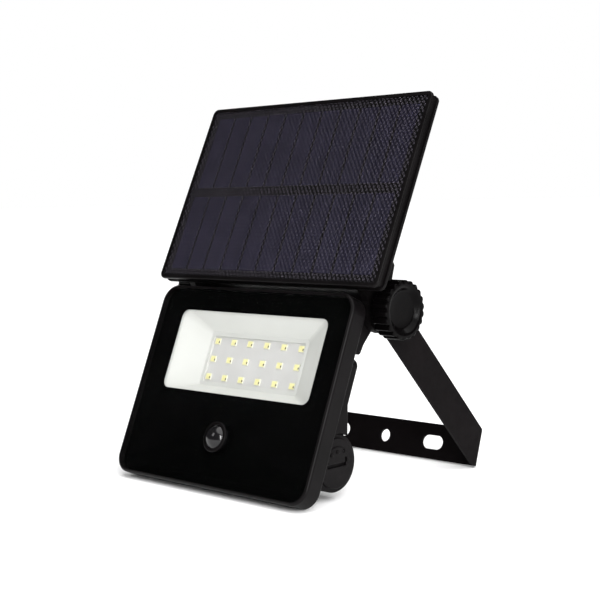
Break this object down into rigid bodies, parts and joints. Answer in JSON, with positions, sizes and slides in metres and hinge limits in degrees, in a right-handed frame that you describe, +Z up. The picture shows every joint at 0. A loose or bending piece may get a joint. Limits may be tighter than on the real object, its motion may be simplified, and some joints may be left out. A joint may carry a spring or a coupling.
{
  "type": "solar flood light",
  "caption": "Flat outdoor lamp with a tilting solar panel above it, a motion sensor, a battery tube behind it and a folding bracket clamped by knobs.",
  "frame": {"origin": "middle of the footprint, on the surface the light stands on", "axes": "-Y is the side that shines, +Y is the bracket's side, X runs along the hinge, +Z is up"},
  "size_m": [0.186, 0.1684, 0.2295],
  "materials": {
    "bezel_black": "satin black moulded plastic",
    "housing_black": "fine-grained black plastic",
    "clear_glass": "clear tempered glass",
    "black_print": "black print behind the glass",
    "seal_rubber": "black silicone rubber",
    "reflector_white": "satin white plastic",
    "board_white": "white solder mask",
    "led_phosphor": "yellow phosphor under clear resin",
    "plain_aluminium": "mill finish",
    "board_green": "green solder mask",
    "sensor_black": "polished black plastic",
    "steel": "zinc plated",
    "cell_wrap": "blue heat-shrink sleeve",
    "brass": "plain brass",
    "solar_film": "clear textured plastic laminate",
    "silicon": "blue-violet silicon cells",
    "backing_black": "black board",
    "painted_strip": "matt black powder coat",
    "knob_black": "satin black moulded plastic"
  },
  "bodies": {
    "lamp": {"front_bezel": "bezel_black", "front_glass": "clear_glass", "glass_print": "black_print", "glass_gasket": "seal_rubber", "reflector": "reflector_white", "led_board": "board_white", "led_packages": "led_phosphor", "heat_plate": "plain_aluminium", "plate_screws": "steel", "control_board": "board_green", "pir_ring": "bezel_black", "pir_lens": "sensor_black", "pir_sensor": "steel", "sensor_board": "board_green", "rear_housing": "housing_black", "housing_screws": "steel", "battery_cells": "cell_wrap", "battery_contacts": "steel", "end_cap_left": "housing_black", "charging_port": "steel", "hinge_bolts": "steel", "hinge_barrel": "housing_black"},
    "panel": {"panel_frame": "bezel_black", "laminate_cover": "solar_film", "solar_cells_upper": "silicon", "solar_cells_lower": "silicon", "backing_board": "backing_black", "panel_back": "housing_black", "panel_screws": "steel", "lead_cover": "housing_black", "hinge_ear_right": "housing_black", "hinge_ear_left": "housing_black", "ear_screws": "steel"},
    "bracket": {"bracket": "painted_strip"},
    "washer_right": {"washer_right": "steel"},
    "washer_left": {"washer_left": "steel"},
    "knob_right": {"knob_right": "knob_black", "knob_insert_right": "brass"},
    "knob_left": {"knob_left": "knob_black", "knob_insert_left": "brass"},
    "port_cover": {"port_cover": "seal_rubber"}
  },
  "joints": [
    {"name": "bracket_tilt", "type": "hinge", "parent": "lamp", "child": "bracket", "pos_m": [0, -0.0076, 0.1052], "axis": [1, 0, 0], "range_deg": [-48, 30]},
    {"name": "panel_tilt", "type": "hinge", "parent": "lamp", "child": "panel", "pos_m": [0, -0.0076, 0.1052], "axis": [-1, 0, 0], "range_deg": [-5, 85]},
    {"name": "knob_right_turn", "type": "hinge", "parent": "washer_right", "child": "knob_right", "pos_m": [0, -0.0076, 0.1052], "axis": [1, 0, 0], "range_deg": [0, 360]},
    {"name": "washer_right_travel", "type": "slide", "parent": "lamp", "child": "washer_right", "axis": [1, 0, 0], "range_m": [0, 0.00105]},
    {"name": "knob_left_turn", "type": "hinge", "parent": "washer_left", "child": "knob_left", "pos_m": [0, -0.0076, 0.1052], "axis": [-1, 0, 0], "range_deg": [0, 360]},
    {"name": "washer_left_travel", "type": "slide", "parent": "lamp", "child": "washer_left", "axis": [-1, 0, 0], "range_m": [0, 0.00105]},
    {"name": "port_cover_pull", "type": "slide", "parent": "lamp", "child": "port_cover", "axis": [1, 0, 0], "range_m": [0, 0.011]}
  ],
  "couplings": [
    {"joint": "washer_right_travel", "follows": "knob_right_turn", "m_per_rad": 0.00015915},
    {"joint": "washer_left_travel", "follows": "knob_left_turn", "m_per_rad": 0.00015915}
  ]
}
